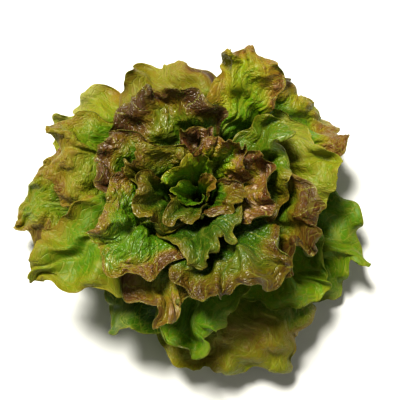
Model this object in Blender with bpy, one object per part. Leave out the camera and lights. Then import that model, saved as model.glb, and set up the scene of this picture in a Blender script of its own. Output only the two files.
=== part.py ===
"""A loose head of batavia lettuce, as cut: a short stem and its waved leaves.

Units are metres, +Z is up, and the origin is the middle of the stem's cut face.

The leaves never cross because they share one family of nested shells. Shell 0 is the outermost
and opens widest, and the last one stands upright round the heart. Each leaf lies along its own
shell: its waves, its tilt and its lean are small shifts towards the shells beside it, and the
waves and the swell that are large bend all shells alike.
"""

import math

import bmesh
import bpy
import numpy as np

# Stem: the cut face is flat, and the stem narrows up to the heart
STEM_RADIUS = 0.0165
STEM_TOP_RADIUS = 0.0022
STEM_HEIGHT = 0.056
STEM_POINT = 0.0008
STEM_NARROWING = 1.15
STEM_RINGS = 8
STEM_SIDES = 20
CUT_BEVEL = 0.0012

# Leaves: each leaves the stem higher up, a golden angle on from the one below it
GOLDEN_ANGLE = 137.508
FIRST_AZIMUTH = -4.0
LOWEST_BASE = 0.0075
HIGHEST_BASE = 0.050
STEM_GAP = 0.0006
WIDEST_REACH_ROUND = math.radians(62)
PETIOLE_HALF_WIDTH = 0.0095
PETIOLE_END = 0.03
BROADEST = 0.50
LOBES = 0.05

# Each leaf, from the outermost: degrees off its golden angle, length and half width against its
# shell's, and lean in shells towards the heart
LEAVES = (
    (-12, 0.97, 1.22, 0.0),
    (10, 1.00, 0.92, 0.2),
    (20, 1.06, 1.16, 0.0),
    (-8, 0.97, 0.90, 0.0),
    (-4, 1.04, 0.90, 0.0),
    (0, 0.84, 1.00, 0.0),
    (2, 0.86, 1.00, 0.2),
    (-6, 0.80, 0.90, -0.2),
    (-2, 0.80, 0.90, 0.0),
    (12, 0.94, 0.85, 0.0),
    (-16, 0.93, 0.74, -0.4),
    (-4, 0.99, 0.54, 0.3),
    (4, 1.16, 0.56, -0.6),
    (-6, 0.90, 0.90, 0.0),
    (-4, 0.86, 1.05, 0.2),
    (-10, 0.94, 0.85, -0.4),
    (-22, 0.86, 0.78, -0.2),
    (-2, 0.88, 0.90, -0.2),
    (-20, 1.10, 0.85, -0.3),
    (0, 0.72, 0.95, 0.2),
    (-10, 1.18, 0.98, -0.4),
    (-6, 0.95, 0.95, -0.2),
    (14, 0.92, 0.95, -0.2),
    (4, 1.10, 0.95, -0.2),
    (0, 0.98, 1.00, 0.1),
    (12, 1.06, 1.00, -0.2),
    (0, 1.10, 1.00, -0.1),
    (-2, 1.00, 1.15, -0.2),
    (6, 1.10, 1.10, -0.1),
    (3, 0.98, 0.94, 0.15),
    (12, 1.00, 1.10, 0.0),
    (0, 1.05, 1.10, 0.0),
)
OUTER_LEAVES = 14
MIDDLE_LEAVES = 10

# Shells, from the outermost to the innermost: slope in degrees at the base and at the tip, and
# the length and half width of their leaves
BASE_SLOPE = (22.0, 88.0)
TIP_SLOPES = (-42.0, -24.0, -5.0, 16.0, 44.0, 66.0)
BEND_POWER = 2.3
SHELL_STEPS = 14
SHELL_LENGTHS = (0.142, 0.152, 0.146, 0.124, 0.088, 0.050)
SHELL_HALF_WIDTHS = (0.070, 0.074, 0.070, 0.060, 0.042, 0.022)
DEPTH_LIMITS = (-0.12, 1.06)
BASE_RISE_POWER = 0.9

# A leaf's own waves, tilt and droop, in shells
MOST_SHIFT = 0.80
RIM_WAVES = (6.5, 8.5)
FEWER_WAVES_AT_HEART = 2.5
WAVE_HEIGHT = (0.75, 1.05)
FINE_WAVES = 2.2
FINE_WAVE_SHARE = 0.25
MOST_TILT = 0.7
DROOP = (-0.1, 0.45)

# Waves that all shells share: how many go round the head, their height in shells, how far each
# next shell turns them in radians, how close to the rim they stay, and how unevenly they follow
SHARED_WAVES = (
    {"count": 5, "height": 1.0, "drift": 0.04, "rim": 1.2, "sway": 0.3},
    {"count": 11, "height": 1.2, "drift": -0.06, "rim": 1.8, "sway": 0.8},
    {"count": 21, "height": 1.3, "drift": 0.08, "rim": 3.0, "sway": 1.6},
)
FULL_REACH = 0.130
MOST_REACH = 1.1
WAVE_LEAN = 2.0

# Swell: shears that bend all shells together, one after another, as (height, wavelength)
SWELLS = ((0.0085, 0.170), (0.0070, 0.130), (0.0055, 0.105), (0.0045, 0.085), (0.0032, 0.064))
SWELL_SEED = 11
SWELL_START = 0.022
SWELL_FADE = 0.075
FLATTER = 0.6

# Surface that the head stands on: the low leaves flatten out over it
FLOOR_CLEARANCE = 0.0014
FLOOR_SOFTNESS = 0.0035
FLOOR_START = 0.02
FLOOR_FADE = 0.03

# Flesh, outermost leaf and innermost: the blade's thickness, and the midrib's at its base
BLADE = (0.0011, 0.0007)
RIB = 0.0034
RIB_HALF_WIDTH = 0.0065

# Rows and columns of faces on a leaf, outermost and innermost
GRID_ROWS = (9, 7)
GRID_COLUMNS = (17, 10)
ROWS_TOWARDS_RIM = 0.8

# Colours: outer leaves olive, middle leaves red-brown, heart bright green
OUTER_COLOUR = (0.16, 0.17, 0.03)
MIDDLE_COLOUR = (0.16, 0.09, 0.03)
HEART_COLOUR = (0.17, 0.27, 0.03)
STEM_COLOUR = (0.62, 0.66, 0.40)
LEAF_ROUGHNESS = 0.45
STEM_ROUGHNESS = 0.5


def between(pair, share):
    return pair[0] + (pair[1] - pair[0]) * share


def smooth_step(x):
    x = np.clip(x, 0, 1)
    return x * x * (3 - 2 * x)


def along(values, share):
    """A value read from an evenly spaced list, from its first at share 0 to its last at share 1."""
    return np.interp(share, np.linspace(0, 1, len(values)), values)


def depth_of(layer):
    """How far in a shell is, from 0 at the outermost to 1 at the innermost."""
    return np.asarray(layer, float) / (len(LEAVES) - 1)


def stem_radius(height):
    share = np.clip((height - LOWEST_BASE) / (STEM_HEIGHT - LOWEST_BASE), 0, 1)
    return between((STEM_RADIUS, STEM_TOP_RADIUS), share**STEM_NARROWING)


def shell_point(length, turn, layer):
    """The point at a length from the stem on a shell, at an azimuth in radians."""
    depth = np.clip(depth_of(layer), *DEPTH_LIMITS)
    base = np.radians(between(BASE_SLOPE, depth))
    tip = np.radians(along(TIP_SLOPES, depth))
    steps = (np.arange(SHELL_STEPS) + 0.5) / SHELL_STEPS
    share = length[..., None] * steps / along(SHELL_LENGTHS, depth)[..., None]
    slope = base[..., None] + (tip - base)[..., None] * share**BEND_POWER
    start = between((LOWEST_BASE, HIGHEST_BASE), np.clip(depth, 0, 1) ** BASE_RISE_POWER)
    radius = stem_radius(start) + STEM_GAP + length * np.cos(slope).mean(axis=-1)
    height = start + length * np.sin(slope).mean(axis=-1)
    return np.stack([radius * np.cos(turn), radius * np.sin(turn), height], axis=-1)


def shared_shift(turn, share, radius, number):
    """The waves that run through all shells alike, in shells, growing from the stem to the rim."""
    reach = np.minimum(MOST_REACH, radius / FULL_REACH)
    total = 0
    for k, wave in enumerate(SHARED_WAVES):
        sway = wave["sway"] * np.sin(3 * turn + 1.3 * k)
        phase = wave["count"] * turn + wave["drift"] * number + sway + WAVE_LEAN * share + 2.1 * k
        nearer_rim = share ** wave["rim"] * reach ** (0.3 + 0.25 * k)
        total = total + wave["height"] * nearer_rim * np.sin(phase)
    return total


def swell_shears():
    """Each shear's way across the head, its push at right angles to that, and its phase."""
    draw = np.random.RandomState(SWELL_SEED)
    shears = []
    for height, wavelength in SWELLS:
        way = draw.normal(size=3) * (1, 1, FLATTER)
        way /= np.linalg.norm(way)
        push = np.cross(way, draw.normal(size=3))
        push *= height / np.linalg.norm(push)
        shears.append((way * 2 * math.pi / wavelength, push, draw.uniform(0, 2 * math.pi)))
    return shears


SHEARS = swell_shears()


def swelled(points):
    """The points moved by the swell, which fades out towards the stem."""
    reach = np.linalg.norm(points * (1, 1, FLATTER), axis=-1)
    share = smooth_step((reach - SWELL_START) / SWELL_FADE)[..., None]
    moved = points
    for way, push, phase in SHEARS:
        moved = moved + share * push * np.sin(moved @ way + phase)[..., None]
    return moved


def laid_down(points):
    """The points lifted softly off the surface, so that low leaves spread over it."""
    height = points[..., 2]
    lifted = FLOOR_SOFTNESS * np.logaddexp(0, (height - FLOOR_CLEARANCE) / FLOOR_SOFTNESS)
    near = smooth_step((np.hypot(points[..., 0], points[..., 1]) - FLOOR_START) / FLOOR_FADE)
    laid = points.copy()
    laid[..., 2] += (FLOOR_CLEARANCE + lifted - height) * near
    return laid


def leaf_plan(number):
    """The place, the sizes and the waves of one leaf, counted from 0 at the outermost."""
    draw = np.random.RandomState(100 + number)
    depth = float(depth_of(number))
    nudge, longer, wider, lean = LEAVES[number]
    return {
        "azimuth": math.radians(FIRST_AZIMUTH + number * GOLDEN_ANGLE + nudge),
        "length": float(along(SHELL_LENGTHS, depth)) * longer,
        "half_width": float(along(SHELL_HALF_WIDTHS, depth)) * wider,
        "waves": draw.uniform(*RIM_WAVES) - FEWER_WAVES_AT_HEART * depth,
        "wave_height": draw.uniform(*WAVE_HEIGHT),
        "phases": draw.uniform(0, 2 * math.pi, 4),
        "tilt": draw.uniform(-MOST_TILT, MOST_TILT),
        "droop": draw.uniform(*DROOP),
        "lean": lean,
    }


def leaf_outline(u, v, plan):
    """The distance from the stem and the distance aside, for u across the leaf and v along it.

    The lower part widens from the petiole, and the upper part is near half an ellipse.
    """
    upper = np.clip((v - BROADEST) / (1 - BROADEST), 0, 1)
    lobes = 1 + LOBES * upper**2 * np.sin(plan["waves"] * 1.3 * u + plan["phases"][3])
    rise = (1 - BROADEST) * upper * np.sqrt(1 - u**2 / 2) * lobes
    narrow = PETIOLE_HALF_WIDTH / plan["half_width"]
    spread = between((narrow, 1), smooth_step((v - PETIOLE_END) / (BROADEST - PETIOLE_END)))
    aside = plan["half_width"] * u * spread * np.sqrt(1 - upper**2 / 2)
    return plan["length"] * (np.minimum(v, BROADEST) + rise), aside


def leaf_shift(u, v, length, aside, plan):
    """How far the blade stands off its own shell, in shells: waves, tilt, droop and lean."""
    bearing = np.arctan2(aside / plan["half_width"], length / plan["length"] - 0.42)
    rim = np.clip(np.maximum(np.abs(u), v), 0, 1) * smooth_step(v / 0.35)
    a, b, c, _ = plan["phases"]
    ripple = np.sin(plan["waves"] * bearing + a + 0.7 * np.sin(2 * bearing + b))
    finer = np.sin(FINE_WAVES * plan["waves"] * bearing + c)
    shift = plan["wave_height"] * (rim**3 * ripple + FINE_WAVE_SHARE * rim**6 * finer)
    shift += plan["tilt"] * u * v - plan["droop"] * u**2 * v + plan["lean"] * v**2
    return MOST_SHIFT * np.tanh(shift / MOST_SHIFT)


def leaf_surface(u, v, number, plan):
    """The blade's upper face at the given places across and along it."""
    length, aside = leaf_outline(u, v, plan)
    radius = shell_point(length, np.zeros_like(length), np.full_like(length, number))[..., 0]
    turn = WIDEST_REACH_ROUND * np.tanh(aside / radius / WIDEST_REACH_ROUND)
    turn = plan["azimuth"] + turn
    shift = leaf_shift(u, v, length, aside, plan)
    shift = shift + shared_shift(turn, length / plan["length"], radius, number)
    return laid_down(swelled(shell_point(length, turn, number + shift)))


def leaf_thickness(v, aside, depth):
    """The blade, and under its middle the rib, which thins towards the tip and the heart."""
    rib = RIB * (1 - depth) ** 1.2 * (1 - v) ** 1.4 * np.exp(-((aside / RIB_HALF_WIDTH) ** 2))
    return between(BLADE, depth) + rib


def material(name, colour, roughness):
    made = bpy.data.materials.new(name)
    made.use_nodes = True
    shader = made.node_tree.nodes["Principled BSDF"]
    shader.inputs["Base Color"].default_value = (*colour, 1)
    shader.inputs["Roughness"].default_value = roughness
    shader.inputs["Metallic"].default_value = 0.0
    return made


def leaf_name(number):
    if number < OUTER_LEAVES:
        return f"outer_leaf_{number + 1:02d}"
    number -= OUTER_LEAVES
    if number < MIDDLE_LEAVES:
        return f"middle_leaf_{number + 1:02d}"
    return f"heart_leaf_{number - MIDDLE_LEAVES + 1:02d}"


def leaf_colour(depth):
    if depth < 0.5:
        ends, share = (OUTER_COLOUR, MIDDLE_COLOUR), 2 * depth
    else:
        ends, share = (MIDDLE_COLOUR, HEART_COLOUR), 2 * depth - 1
    return tuple(between(pair, share) for pair in zip(*ends))


def make_leaf(number):
    """One leaf: a waved sheet of triangles, with its flesh on the side away from the heart."""
    name = leaf_name(number)
    plan = leaf_plan(number)
    depth = float(depth_of(number))
    rows = round(between(GRID_ROWS, depth))
    columns = round(between(GRID_COLUMNS, depth))
    sheet = bmesh.new()
    bmesh.ops.create_grid(sheet, x_segments=columns, y_segments=rows, size=1)
    flat = np.array([corner.co for corner in sheet.verts])
    u = -flat[:, 0]
    v = (np.clip(flat[:, 1] + 1, 0, 2) / 2) ** ROWS_TOWARDS_RIM
    for corner, point in zip(sheet.verts, leaf_surface(u, v, number, plan)):
        corner.co = point
    bmesh.ops.triangulate(sheet, faces=sheet.faces[:], quad_method="SHORT_EDGE")
    mesh = bpy.data.meshes.new(name)
    sheet.to_mesh(mesh)
    sheet.free()
    mesh.shade_smooth()
    mesh.materials.append(material(name, leaf_colour(depth), LEAF_ROUGHNESS))
    leaf = bpy.data.objects.new(name, mesh)
    bpy.context.scene.collection.objects.link(leaf)

    thickest = BLADE[0] + RIB
    _, aside = leaf_outline(u, v, plan)
    flesh = leaf.vertex_groups.new(name="flesh")
    for index, thickness in enumerate(leaf_thickness(v, aside, depth)):
        flesh.add([index], float(thickness) / thickest, "REPLACE")
    slab = leaf.modifiers.new("flesh", "SOLIDIFY")
    slab.thickness = thickest
    slab.offset = -1
    slab.vertex_group = flesh.name


def make_stem():
    """The stem, turned from its profile, with a bevelled edge round the cut face."""
    heights = np.linspace(LOWEST_BASE, STEM_HEIGHT, STEM_RINGS)
    profile = [(0, STEM_HEIGHT + STEM_POINT)]
    profile += [(float(stem_radius(height)), float(height)) for height in heights[::-1]]
    profile += [(STEM_RADIUS, CUT_BEVEL), (STEM_RADIUS - CUT_BEVEL, 0), (0, 0)]
    mesh = bpy.data.meshes.new("stem")
    edges = [(i, i + 1) for i in range(len(profile) - 1)]
    mesh.from_pydata([(radius, 0, height) for radius, height in profile], edges, [])
    mesh.materials.append(material("stem", STEM_COLOUR, STEM_ROUGHNESS))
    stem = bpy.data.objects.new("stem", mesh)
    bpy.context.scene.collection.objects.link(stem)
    turned = stem.modifiers.new("turned", "SCREW")
    turned.steps = turned.render_steps = STEM_SIDES
    turned.use_merge_vertices = True
    turned.merge_threshold = 0.00005
    turned.use_smooth_shade = True


def main():
    for old in list(bpy.data.objects):
        bpy.data.objects.remove(old)
    make_stem()
    for number in range(len(LEAVES)):
        make_leaf(number)


main()
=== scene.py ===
# A loose head of batavia lettuce as cut, seen from above on a pale floor
import math

import bpy
import numpy as np
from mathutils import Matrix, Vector


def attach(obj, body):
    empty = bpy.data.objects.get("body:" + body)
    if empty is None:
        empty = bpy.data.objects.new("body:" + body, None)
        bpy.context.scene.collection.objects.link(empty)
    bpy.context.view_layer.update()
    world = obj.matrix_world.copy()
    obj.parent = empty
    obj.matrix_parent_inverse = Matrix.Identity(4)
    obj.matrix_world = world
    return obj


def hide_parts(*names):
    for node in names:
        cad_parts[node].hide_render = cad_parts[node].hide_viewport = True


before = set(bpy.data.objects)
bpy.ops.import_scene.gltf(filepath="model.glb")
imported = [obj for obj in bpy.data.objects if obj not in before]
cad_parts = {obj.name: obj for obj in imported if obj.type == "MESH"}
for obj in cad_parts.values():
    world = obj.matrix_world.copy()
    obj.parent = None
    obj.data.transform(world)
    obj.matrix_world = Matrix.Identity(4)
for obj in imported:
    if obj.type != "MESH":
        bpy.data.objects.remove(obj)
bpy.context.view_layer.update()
print("frame loaded, nodes:", len(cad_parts))

# Shells and waves of the whole head, in metres and degrees, outermost shell first in each pair or list
head = {
    "goldenAngle": 137.508,
    "firstAzimuth": -4.0,
    "lowestBase": 0.0075,
    "highestBase": 0.050,
    "stemGap": -0.0003,  # petioles are sunk a little into the stem
    "widestReachRound": math.radians(62),
    "petioleHalfWidth": 0.0095,
    "petioleEnd": 0.03,
    "broadest": 0.50,
    "lobes": 0.05,
    "lobesPerWave": 1.3,
    "centre": 0.42,  # share of a leaf's length that its rim is seen round from
    "baseSlope": (22.0, 88.0),
    "tipSlopes": (-42.0, -24.0, -5.0, 16.0, 44.0, 66.0),
    "bendPower": 2.3,
    "shellSteps": 14,
    "shellLengths": (0.142, 0.152, 0.146, 0.124, 0.088, 0.050),
    "shellHalfWidths": (0.070, 0.074, 0.070, 0.060, 0.042, 0.022),
    "depthLimits": (-0.12, 1.06),
    "baseRisePower": 0.9,
    "mostShift": 1.35,  # a leaf's own waves stay within this many shells
    "rimWaves": (6.5, 8.5),
    "fewerWavesAtHeart": 2.5,
    "waveHeight": (1.15, 1.60),
    "fineWaves": 2.2,
    "fineWaveShare": 0.25,
    "waveSway": 0.7,
    "waveRim": 3,  # powers that keep a leaf's own waves to its rim
    "fineWaveRim": 6,
    "waveFoot": 0.35,
    "calmRims": (0.45, 1.0),  # smooth leaves wave less than blistered ones
    "calmOutside": 0.66,  # and the outermost shells have less of the short shared waves
    "calmUntil": 0.45,
    "mostTilt": 0.7,
    "droop": (-0.1, 0.45),
    "fullReach": 0.130,
    "mostReach": 1.1,
    "waveLean": 2.0,
    "swayTurns": 3,
    "swayPhase": 1.3,
    "wavePhase": 2.1,
    "reachPower": (0.3, 0.25),  # for the longest shared waves, and more for each shorter one
    "swellSeed": 11,
    "swellStart": 0.022,
    "swellFade": 0.075,
    "flatter": 0.6,
    "floorClearance": 0.0014,
    "floorSoftness": 0.0035,
    "floorStart": 0.02,
    "floorFade": 0.03,
}

# Waves that all shells share, so that leaves lie in each other's folds
sharedWaves = (
    {"count": 5, "height": 1.0, "drift": 0.04, "rim": 1.2, "sway": 0.3},
    {"count": 11, "height": 1.2, "drift": -0.06, "rim": 1.8, "sway": 0.8},
    {"count": 21, "height": 1.3, "drift": 0.08, "rim": 3.0, "sway": 1.6},
    {"count": 37, "height": 0.8, "drift": 0.10, "rim": 6.0, "sway": 2.5},
)

# Swell of the head, each a shear as (height, wavelength)
swells = (
    (0.0085, 0.170), (0.0070, 0.130), (0.0055, 0.105), (0.0045, 0.085), (0.0032, 0.064),
    (0.0052, 0.050), (0.0040, 0.037), (0.0028, 0.027), (0.0018, 0.020),
)

# Each leaf from the outermost: degrees off its golden angle, length and half width against its
# shell's, lean in shells; then olive tint, redness, blister height, brightness and rim roll, 1 being full
# Brightness above 1 only strengthens the painted sheen with waxy bloom on blister tops
leaves = {
    "outer_leaf_01": (-12, 0.97, 1.22, 0.0, 0.45, 0.15, 0.15, 0.62, 0.2),
    "outer_leaf_02": (10, 1.00, 0.92, 0.2, 0.95, 0.34, 0.15, 0.88, 0.3),
    "outer_leaf_03": (20, 1.06, 1.16, 0.0, 0.90, 0.32, 0.38, 0.65, 0.2),
    "outer_leaf_04": (-8, 0.97, 0.90, 0.0, 0.75, 0.50, 0.75, 0.80, 0.3),
    "outer_leaf_05": (-4, 1.04, 0.90, 0.0, 0.70, 0.60, 0.75, 0.65, 0.5),
    "outer_leaf_06": (0, 0.84, 1.00, 0.0, 0.45, 0.20, 0.25, 1.00, 0.4),
    "outer_leaf_07": (2, 0.86, 1.00, 0.2, 1.15, 0.50, 0.10, 0.60, 0.1),
    "outer_leaf_08": (-6, 0.80, 0.90, -0.2, 0.20, 0.10, 0.15, 0.20, 0.3),
    "outer_leaf_09": (-2, 0.80, 0.90, 0.0, 0.80, 0.40, 0.35, 0.75, 0.4),
    "outer_leaf_10": (12, 0.94, 0.85, 0.0, 0.55, 0.45, 0.55, 0.70, 0.5),
    "outer_leaf_11": (-16, 0.93, 0.74, -0.4, 0.45, 0.35, 0.25, 0.80, 0.7),
    "outer_leaf_12": (-4, 0.99, 0.54, 0.3, 1.10, 0.50, 0.60, 0.98, 0.2),
    "outer_leaf_13": (4, 1.16, 0.56, -0.6, 0.90, 0.46, 0.12, 0.66, 0.2),
    "outer_leaf_14": (-6, 0.90, 0.90, 0.0, 0.50, 0.66, 0.60, 0.40, 0.8),
    "middle_leaf_01": (-4, 0.86, 1.05, 0.2, 0.85, 0.90, 0.80, 0.36, 0.5),
    "middle_leaf_02": (-10, 0.94, 0.85, -0.4, 0.45, 0.53, 0.50, 0.62, 0.6),
    "middle_leaf_03": (-22, 0.86, 0.78, -0.2, 0.45, 0.45, 0.50, 0.45, 0.5),
    "middle_leaf_04": (-2, 0.88, 0.90, -0.2, 0.45, 0.80, 0.70, 0.45, 0.6),
    "middle_leaf_05": (-20, 1.10, 0.85, -0.3, 0.40, 0.56, 0.80, 0.18, 0.5),
    "middle_leaf_06": (0, 0.72, 0.95, 0.2, 0.60, 0.84, 1.00, 1.00, 0.6),
    "middle_leaf_07": (-10, 1.18, 0.98, -0.4, 0.30, 0.62, 1.00, 0.60, 0.6),
    "middle_leaf_08": (-6, 0.95, 0.95, -0.2, 0.60, 0.66, 0.90, 1.40, 0.5),
    "middle_leaf_09": (14, 0.92, 0.95, -0.2, 0.30, 0.48, 0.65, 0.36, 0.6),
    "middle_leaf_10": (4, 1.10, 0.95, -0.2, 0.20, 0.50, 0.50, 0.15, 0.5),
    "heart_leaf_01": (0, 0.98, 1.00, 0.1, 0.40, 0.84, 1.00, 1.20, 0.5),
    "heart_leaf_02": (12, 1.06, 1.00, -0.2, 0.20, 0.45, 0.60, 0.15, 0.6),
    "heart_leaf_03": (0, 1.10, 1.00, -0.1, 0.40, 0.78, 0.60, 0.30, 0.6),
    "heart_leaf_04": (-2, 1.00, 1.15, -0.2, 0.40, 0.45, 0.50, 1.00, 0.6),
    "heart_leaf_05": (6, 1.10, 1.10, -0.1, 0.20, 0.68, 0.60, 0.05, 0.6),
    "heart_leaf_06": (3, 0.98, 0.94, 0.15, 0.20, 0.50, 0.40, 0.85, 0.5),
    "heart_leaf_07": (12, 1.00, 1.10, 0.0, 0.25, 0.38, 0.40, 1.00, 0.5),
    "heart_leaf_08": (0, 1.05, 1.10, 0.0, 0.05, 0.35, 0.30, 1.00, 0.4),
}


def between(pair, share):
    return pair[0] + (pair[1] - pair[0]) * share


def smoothStep(x):
    x = np.clip(x, 0, 1)
    return x * x * (3 - 2 * x)


def along(values, share):
    return np.interp(share, np.linspace(0, 1, len(values)), values)


def depthOf(layer):
    return np.asarray(layer, float) / (len(leaves) - 1)


# Vectors brought to unit length, or left shorter where they are under the least length
def unitOf(vectors, least):
    return vectors / np.maximum(np.linalg.norm(vectors, axis=-1), least)[..., None]


stem = {
    "radius": 0.0165,
    "topRadius": 0.0022,
    "height": 0.056,
    "narrowing": 1.15,
    "cutBevel": 0.0012,
    "sides": 48,
    "rings": 28,
    "cutRings": 5,
    "topInsets": (0.6, 0.3),
    "sharpAngle": math.radians(50),
    "scarSpacing": 0.009,
    "scarSpirals": 2,
    "scarDepth": 0.05,
    "scarPower": 3,
    "scarUneven": 0.4,
    "scarFrom": 0.004,
    "outOfRound": 0.02,
    "dish": 0.0006,  # the cut face is a little hollow
    "dishUneven": 0.3,
    "dishReach": 0.9,
    "cutLevel": 1e-5,
}


def stemRadius(height):
    share = np.clip((height - head["lowestBase"]) / (stem["height"] - head["lowestBase"]), 0, 1)
    return between((stem["radius"], stem["topRadius"]), share ** stem["narrowing"])


# The point at a length from the stem on a shell, at an azimuth
def shellPoint(length, turn, layer):
    depth = np.clip(depthOf(layer), *head["depthLimits"])
    base = np.radians(between(head["baseSlope"], depth))
    tip = np.radians(along(head["tipSlopes"], depth))
    steps = (np.arange(head["shellSteps"]) + 0.5) / head["shellSteps"]
    share = length[..., None] * steps / along(head["shellLengths"], depth)[..., None]
    slope = base[..., None] + (tip - base)[..., None] * share ** head["bendPower"]
    rise = np.clip(depth, 0, 1) ** head["baseRisePower"]
    start = between((head["lowestBase"], head["highestBase"]), rise)
    radius = stemRadius(start) + head["stemGap"] + length * np.cos(slope).mean(axis=-1)
    height = start + length * np.sin(slope).mean(axis=-1)
    return np.stack([radius * np.cos(turn), radius * np.sin(turn), height], axis=-1)


# Shift, in shells, by the waves that run through all leaves
def sharedShift(turn, share, radius, number):
    reach = np.minimum(head["mostReach"], radius / head["fullReach"])
    power, morePower = head["reachPower"]
    calm = between((head["calmOutside"], 1), smoothStep(depthOf(number) / head["calmUntil"]))
    total = 0
    for k, wave in enumerate(sharedWaves):
        sway = wave["sway"] * np.sin(head["swayTurns"] * turn + head["swayPhase"] * k)
        phase = wave["count"] * turn + wave["drift"] * number + sway
        phase = phase + head["waveLean"] * share + head["wavePhase"] * k
        height = wave["height"] * calm**k * share ** wave["rim"]
        total = total + height * reach ** (power + morePower * k) * np.sin(phase)
    return total


def swellShears():
    draw = np.random.RandomState(head["swellSeed"])
    shears = []
    for height, wavelength in swells:
        way = draw.normal(size=3) * (1, 1, head["flatter"])
        way /= np.linalg.norm(way)
        push = np.cross(way, draw.normal(size=3))
        push *= height / np.linalg.norm(push)
        shears.append((way * 2 * math.pi / wavelength, push, draw.uniform(0, 2 * math.pi)))
    return shears


shears = swellShears()


# Shears one after another bend the space itself, so leaves that don't cross before don't after
def swelled(points):
    reach = np.linalg.norm(points * (1, 1, head["flatter"]), axis=-1)
    share = smoothStep((reach - head["swellStart"]) / head["swellFade"])[..., None]
    for way, push, phase in shears:
        points = points + share * push * np.sin(points @ way + phase)[..., None]
    return points


def laidDown(points):
    height = points[..., 2]
    softness = head["floorSoftness"]
    lifted = softness * np.logaddexp(0, (height - head["floorClearance"]) / softness)
    reach = np.hypot(points[..., 0], points[..., 1])
    near = smoothStep((reach - head["floorStart"]) / head["floorFade"])
    laid = points.copy()
    laid[..., 2] += (head["floorClearance"] + lifted - height) * near
    return laid


# First seeds of the patterns, to which a leaf's number is added
seeds = {
    "wideTeeth": 0,
    "fineTeeth": 40,
    "plan": 100,
    "blisters": 200,
    "blisterWarp": 250,
    "smallBlisters": 300,
    "roll": 300,
    "frillDrift": 360,
    "frillHeight": 390,
    "crumples": 420,
    "patches": 500,
    "drift": 700,
    "tipSheen": 800,
    "fineTipSheen": 850,
}


def seedOf(pattern, plan):
    return seeds[pattern] + plan["number"]


def leafPlan(number, row):
    draw = np.random.RandomState(seeds["plan"] + number)
    depth = float(depthOf(number))
    nudge, longer, wider, lean, olive, red, blisters, bright, roll = row
    return {
        "number": number,
        "depth": depth,
        "azimuth": math.radians(head["firstAzimuth"] + number * head["goldenAngle"] + nudge),
        "length": float(along(head["shellLengths"], depth)) * longer,
        "halfWidth": float(along(head["shellHalfWidths"], depth)) * wider,
        "waves": draw.uniform(*head["rimWaves"]) - head["fewerWavesAtHeart"] * depth,
        "waveHeight": draw.uniform(*head["waveHeight"]) * between(head["calmRims"], blisters),
        "phases": draw.uniform(0, 2 * math.pi, 4),
        "tilt": draw.uniform(-head["mostTilt"], head["mostTilt"]),
        "droop": draw.uniform(*head["droop"]),
        "lean": lean,
        "olive": olive,
        "red": red,
        "blisters": blisters,
        "bright": bright,
        "roll": roll,
    }


tableSize = 64  # the noise repeats after this many steps


# Smooth noise from -1 to 1 on a grid of random values, one grid step a unit
def softNoise(x, y, seed):
    table = np.random.RandomState(seed).uniform(-1, 1, (tableSize, tableSize))
    left, low = np.floor(x).astype(int), np.floor(y).astype(int)
    a, b = smoothStep(x - left), smoothStep(y - low)

    def corner(i, j):
        return table[(left + i) % tableSize, (low + j) % tableSize]

    bottom = corner(0, 0) * (1 - a) + corner(1, 0) * a
    top = corner(0, 1) * (1 - a) + corner(1, 1) * a
    return bottom * (1 - b) + top * b


# Distances to the nearest and the next point of a jittered grid, and the nearest point's lot
def cells(x, y, seed):
    table = np.random.RandomState(seed).uniform(0, 1, (tableSize, tableSize, 3))
    left, low = np.floor(x).astype(int), np.floor(y).astype(int)
    tooFar = 9.0
    first, second, lot = np.full(x.shape, tooFar), np.full(x.shape, tooFar), np.zeros(x.shape)
    for i in (-1, 0, 1):
        for j in (-1, 0, 1):
            point = table[(left + i) % tableSize, (low + j) % tableSize]
            gap = np.hypot(left + i + point[..., 0] - x, low + j + point[..., 1] - y)
            second = np.where(gap < first, first, np.minimum(second, gap))
            lot = np.where(gap < first, point[..., 2], lot)
            first = np.minimum(first, gap)
    return first, second, lot


# Uneven teeth of the rim, as shares of its distance from the stem
teeth = {
    "wide": 0.028,
    "fine": 0.010,
    "wideCount": 4.0,
    "fineCount": 16.0,
    "cut": 0.024,
    "rimPower": 5,
    "foot": 0.3,
}


# Flat leaf: the distance along and the distance aside, for u across it and v along it
def leafOutline(u, v, plan):
    broadest = head["broadest"]
    upper = np.clip((v - broadest) / (1 - broadest), 0, 1)
    lobes = np.sin(plan["waves"] * head["lobesPerWave"] * u + plan["phases"][3])
    lobes = 1 + head["lobes"] * upper**2 * lobes
    rise = (1 - broadest) * upper * np.sqrt(1 - u**2 / 2) * lobes
    narrow = head["petioleHalfWidth"] / plan["halfWidth"]
    opening = smoothStep((v - head["petioleEnd"]) / (broadest - head["petioleEnd"]))
    spread = between((narrow, 1), opening)
    aside = plan["halfWidth"] * u * spread * np.sqrt(1 - upper**2 / 2)
    length = plan["length"] * (np.minimum(v, broadest) + rise)
    bearing = np.arctan2(aside, length - head["centre"] * plan["length"])
    rim = np.maximum(np.abs(u), v) ** teeth["rimPower"] * smoothStep(v / teeth["foot"])
    wide = softNoise(teeth["wideCount"] * bearing, 0 * bearing, seedOf("wideTeeth", plan))
    fine = softNoise(teeth["fineCount"] * bearing, 0 * bearing, seedOf("fineTeeth", plan))
    grown = 1 + rim * (teeth["wide"] * wide + teeth["fine"] * fine - teeth["cut"])
    return length * grown, aside * grown


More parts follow.
